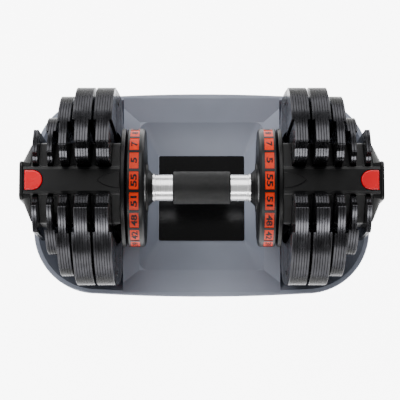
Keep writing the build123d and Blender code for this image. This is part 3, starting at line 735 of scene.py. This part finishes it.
@dataclass
class DialNumbers:
    """Raised black digits on the orange cells of one dial."""

    side: Side
    shelf: FinishShelf
    weights: tuple[int, ...] = (55, 5, 7, 8, 10, 12, 15, 18, 21, 24, 27, 30, 33, 36, 39, 42, 48, 51)
    digit_height: float = 6.6 * MM
    widen: float = 1.62
    embolden: float = 0.035
    raise_by: float = 0.12 * MM
    sink: float = 0.02 * MM
    slice_step: float = 1.0 * MM

    def build(self) -> bpy.types.Object:
        """Make every number of the dial as one piece.

        Returns:
            The digits.
        """
        low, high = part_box(self.side.node("number_cells"))
        axis = (low + high) / 2
        radius = (high.z - low.z) / 2
        shape = bmesh.new()
        pitch = math.tau / len(self.weights)
        for index, weight in enumerate(self.weights):
            self._wrap(shape, str(weight), math.pi / 2 - index * pitch, axis, radius)
        name = self.side.node("dial_digits")
        digits = piece_from(name, shape, self.shelf.digit_ink)
        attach(digits, "handle")
        return digits

    def _flat(self, text: str) -> bpy.types.Mesh:
        """Flat digits of one number, reading along +X.

        Args:
            text: the number.

        Returns:
            Their mesh.
        """
        curve = bpy.data.curves.new("digits", "FONT")
        curve.body = text
        curve.align_x = "CENTER"
        curve.align_y = "CENTER"
        curve.size = 1.0
        curve.offset = self.embolden
        curve.resolution_u = 6
        holder = bpy.data.objects.new("digits", curve)
        bpy.context.scene.collection.objects.link(holder)
        bpy.context.view_layer.update()
        graph = bpy.context.evaluated_depsgraph_get()
        mesh = bpy.data.meshes.new_from_object(holder.evaluated_get(graph))
        bpy.data.objects.remove(holder)
        return mesh

    def _wrap(self, shape: bmesh.types.BMesh, text: str, angle: float, axis: Vector,
              radius: float) -> None:
        """Bend one number round the dial and give it thickness.

        Args:
            shape: mesh to add to.
            text: the number.
            angle: place of its middle round the bar, from +Y towards +Z.
            axis: centre of the band of cells.
            radius: outer radius of the cells.
        """
        mesh = self._flat(text)
        part = bmesh.new()
        part.from_mesh(mesh)
        bpy.data.meshes.remove(mesh)
        ys = [v.co.y for v in part.verts]
        xs = [v.co.x for v in part.verts]
        height = max(ys) - min(ys)
        factor = self.digit_height / height
        mid_x, mid_y = (max(xs) + min(xs)) / 2, (max(ys) + min(ys)) / 2
        for v in part.verts:
            v.co = Vector(((v.co.x - mid_x) * factor * self.widen, (v.co.y - mid_y) * factor, 0))
        reach = max(abs(v.co.x) for v in part.verts)
        steps = int(2 * reach / self.slice_step)
        for i in range(1, steps):
            cut = -reach + 2 * reach * i / steps
            bmesh.ops.bisect_plane(part, geom=part.verts[:] + part.edges[:] + part.faces[:],
                                   plane_co=(cut, 0, 0), plane_no=(1, 0, 0), dist=1e-7)
        grown = bmesh.ops.extrude_face_region(part, geom=part.faces[:])
        for item in grown["geom"]:
            if isinstance(item, bmesh.types.BMVert):
                item.co.z = self.raise_by
        outboard = self.side.value
        for v in part.verts:
            turn = angle + outboard * v.co.x / radius
            r = radius - self.sink + v.co.z
            across = axis.x + outboard * v.co.y
            v.co = Vector((across, axis.y + r * math.cos(turn), axis.z + r * math.sin(turn)))
        bmesh.ops.recalc_face_normals(part, faces=part.faces)
        kept = bpy.data.meshes.new("wrapped")
        part.to_mesh(kept)
        part.free()
        shape.from_mesh(kept)
        bpy.data.meshes.remove(kept)


# ------------------------------------------------------------------ buttons


@dataclass
class ReturnSpring:
    """Coil spring under one release button."""

    side: Side
    shelf: FinishShelf
    wire: float = 0.5 * MM
    pitch: float = 1.5 * MM
    travel: float = 3.0 * MM
    steps_a_turn: int = 28
    steps_round_wire: int = 10

    def build(self) -> bpy.types.Object:
        """Make the coil in place of the plain one.

        Returns:
            The coil.
        """
        node = self.side.node("button_spring")
        low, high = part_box(node)
        shape = bmesh.new()
        rows = [self._row(shape, turn, low, high) for turn in self._turns(high.z - low.z)]
        for first, second in zip(rows, rows[1:]):
            for j in range(self.steps_round_wire):
                k = (j + 1) % self.steps_round_wire
                shape.faces.new((first[j], first[k], second[k], second[j]))
        shape.faces.new(rows[0])
        shape.faces.new(rows[-1])
        bmesh.ops.recalc_face_normals(shape, faces=shape.faces)
        coil = piece_from(self.side.node("spring_coil"), shape, self.shelf.by_slot["steel"])
        smooth_by_angle(coil.data, 50)
        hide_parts(node)
        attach(coil, "frame")
        self.side.node("button_press")
        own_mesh(coil)
        return coil

    def _turns(self, height: float) -> list[float]:
        """Turns of the coil below each row of points.

        Args:
            height: height of the whole spring.

        Returns:
            The turns, from the foot up.
        """
        turns = (height - 2 * self.wire) / self.pitch
        count = int(turns * self.steps_a_turn)
        return [turns * i / count for i in range(count + 1)]

    def _row(self, shape: bmesh.types.BMesh, turn: float, low: Vector,
             high: Vector) -> list[bmesh.types.BMVert]:
        """One ring of points round the wire.

        Args:
            shape: mesh to add to.
            turn: turns of the coil below this row.
            low: lower corner of the spring's box.
            high: upper corner of the spring's box.

        Returns:
            The points of the ring.
        """
        centre = (low + high) / 2
        radius = (high.y - low.y) / 2 - self.wire
        outwards = Vector((math.cos(math.tau * turn), math.sin(math.tau * turn), 0))
        middle = centre + outwards * radius
        middle.z = low.z + self.wire + turn * self.pitch
        row = []
        for j in range(self.steps_round_wire):
            angle = math.tau * j / self.steps_round_wire
            offset = outwards * math.cos(angle) + Vector((0, 0, math.sin(angle)))
            row.append(shape.verts.new(middle + offset * self.wire))
        return row


# ------------------------------------------------------------------ studio


@dataclass(frozen=True)
class Panel:
    """A soft light that faces the bar.

    Args:
        name: name of the light.
        where: its middle.
        size: its width and height.
        watts: its power.
        on_matt: whether it lights matt surfaces.
        in_gloss: whether it shows in gloss.
    """

    name: str
    where: tuple[float, float, float]
    size: tuple[float, float]
    watts: float
    on_matt: bool = True
    in_gloss: bool = True

    def build(self, bar_height: float) -> None:
        """Hang the light.

        Args:
            bar_height: height of the bar that it faces.
        """
        light = bpy.data.lights.new(self.name, "AREA")
        light.shape = "RECTANGLE"
        light.size, light.size_y = self.size
        light.energy = self.watts
        made = bpy.data.objects.new(self.name, light)
        made.location = self.where
        aim = Vector((0, 0, bar_height)) - Vector(self.where)
        made.rotation_euler = aim.to_track_quat("-Z", "Y").to_euler()
        made.visible_diffuse = self.on_matt
        made.visible_glossy = self.in_gloss
        bpy.context.scene.collection.objects.link(made)


@dataclass
class Studio:
    """Pale floor, soft lights and the camera.

    Args:
        distance: from the camera to the point it looks at.
        elevation: of the camera over the horizon, in degrees.
        lens: focal length in millimetres.
        aim_x: X of the point it looks at.
        aim_y: Y of the point it looks at.
        floor_glow: own light of the floor that is seen.
        mirrored_glow: own light of the floor that gloss finds.
        surround: light from all round.
        floor_half: half the floor's width.
        sight: how far the camera sees.
        panels: the soft lights.
    """

    distance: float = 1.70
    elevation: float = 83.3
    lens: float = 141.5
    aim_x: float = -1.84 * MM
    aim_y: float = -13.3 * MM
    floor_glow: float = 7.5
    mirrored_glow: float = 3.2
    surround: float = 0.20
    floor_half: float = 40.0
    sight: float = 120.0
    panels: tuple[Panel, ...] = (
        Panel("back_panel", (-0.25, 0.95, 1.25), (1.7, 1.2), 26.0),
        Panel("front_panel", (0.0, -1.0, 0.88), (1.8, 0.22), 15.0, on_matt=False),
        Panel("fill_panel", (-0.35, -1.1, 0.70), (1.4, 0.9), 8.0, in_gloss=False),
    )
    bar_height: float = field(init=False, default=0.0)

    def build(self) -> None:
        """Set up everything round the object."""
        low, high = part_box("grip")
        self.bar_height = (low.z + high.z) / 2
        self._floor()
        self._lights()
        self._camera()

    def _floor(self) -> None:
        """A pale floor, and a dimmer sheet just below it that gloss and soft light find instead."""
        seen = self._sheet("studio_floor", self.floor_glow)
        seen.visible_glossy = False
        seen.visible_diffuse = False
        mirrored = self._sheet("mirrored_floor", self.mirrored_glow)
        mirrored.visible_camera = False
        mirrored.location.z = -1.0 * MM

    def _sheet(self, name: str, glow: float) -> bpy.types.Object:
        """One large pale sheet on the ground.

        Args:
            name: name of the sheet and of its material.
            glow: its own light.

        Returns:
            The sheet.
        """
        shape = bmesh.new()
        bmesh.ops.create_grid(shape, x_segments=1, y_segments=1, size=self.floor_half)
        bench = NodeBench(name, (0.93, 0.93, 0.93), 0.8)
        bench.put("Emission Color", (1.0, 1.0, 1.0, 1.0))
        bench.put("Emission Strength", glow)
        sheet = piece_from(name, shape, bench.material)
        return sheet

    def _lights(self) -> None:
        """A dim surround and the soft panels."""
        world = bpy.data.worlds.new("studio")
        world.use_nodes = True
        world.node_tree.nodes["Background"].inputs["Color"].default_value = (1.0, 1.0, 1.0, 1.0)
        world.node_tree.nodes["Background"].inputs["Strength"].default_value = self.surround
        bpy.context.scene.world = world
        for panel in self.panels:
            panel.build(self.bar_height)

    def _camera(self) -> None:
        """Look down on the bar from a little to the front."""
        data = bpy.data.cameras.new("camera")
        data.lens = self.lens
        data.clip_end = self.sight
        camera = bpy.data.objects.new("camera", data)
        aim = Vector((self.aim_x, self.aim_y, self.bar_height))
        tilt = math.radians(self.elevation)
        back = Vector((0, -math.cos(tilt), math.sin(tilt)))
        camera.location = aim + back * self.distance
        camera.rotation_euler = (-back).to_track_quat("-Z", "Y").to_euler()
        bpy.context.scene.collection.objects.link(camera)
        bpy.context.scene.camera = camera


# ------------------------------------------------------------------ build


def corners(box: tuple[Vector, Vector]) -> list[list[float]]:
    """Turn a box into plain lists.

    Args:
        box: its lower and upper corners.

    Returns:
        The same corners as lists of numbers.
    """
    return [list(corner) for corner in box]


def main() -> None:
    """Dress the frame, add the fine pieces and set up the studio."""
    logging.basicConfig(level=logging.INFO, format="%(name)s: %(message)s")
    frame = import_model()
    shelf = FinishShelf()
    shelf.dress(frame)
    makers = [Grip(shelf)]
    for side in Side:
        makers += [DialNumbers(side, shelf), ReturnSpring(side, shelf)]
    for maker in makers:
        made = maker.build()
        LOG.info("made %s with %d faces", made.name, len(made.data.polygons))
    Studio().build()


if __name__ == "__main__":
    main()
